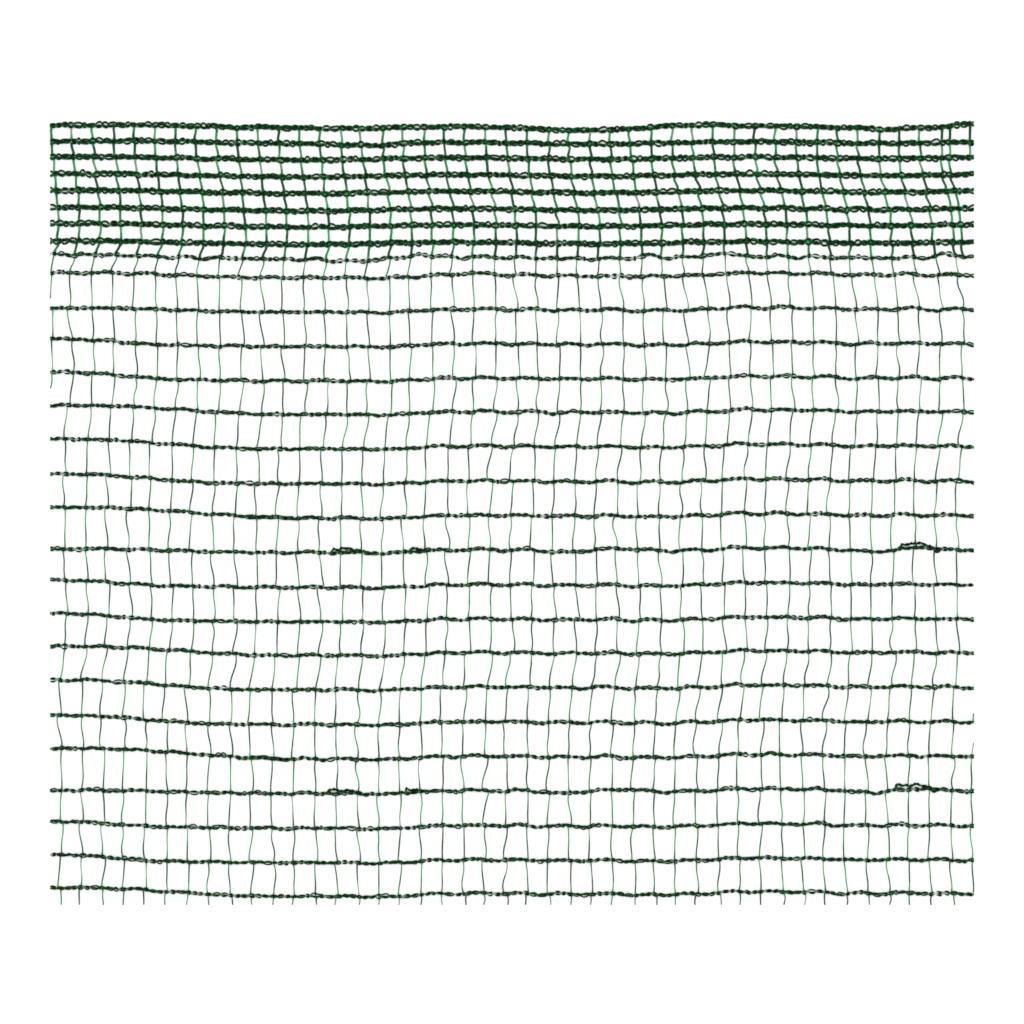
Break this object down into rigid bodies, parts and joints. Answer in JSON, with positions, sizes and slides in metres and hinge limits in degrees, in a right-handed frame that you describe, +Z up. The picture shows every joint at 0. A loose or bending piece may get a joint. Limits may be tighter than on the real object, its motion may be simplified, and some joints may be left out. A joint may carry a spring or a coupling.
{
  "type": "anti-hail netting, a cut length lying flat",
  "caption": "Flat cut length of knitted green monofilament netting with a thick reinforced selvedge along one edge and even rectangular meshes.",
  "frame": {"origin": "middle of the piece's footprint, on the surface that it lies on", "axes": "+X along the knitted rows, +Y towards the reinforced selvedge, +Z up out of the surface"},
  "size_m": [0.2174, 0.1842, 0.0016],
  "materials": {
    "monofilament": "dark green knitted polyethylene monofilament, lightly glossy"
  },
  "bodies": {
    "root": {"anti_hail_net": "monofilament"}
  },
  "joints": []
}
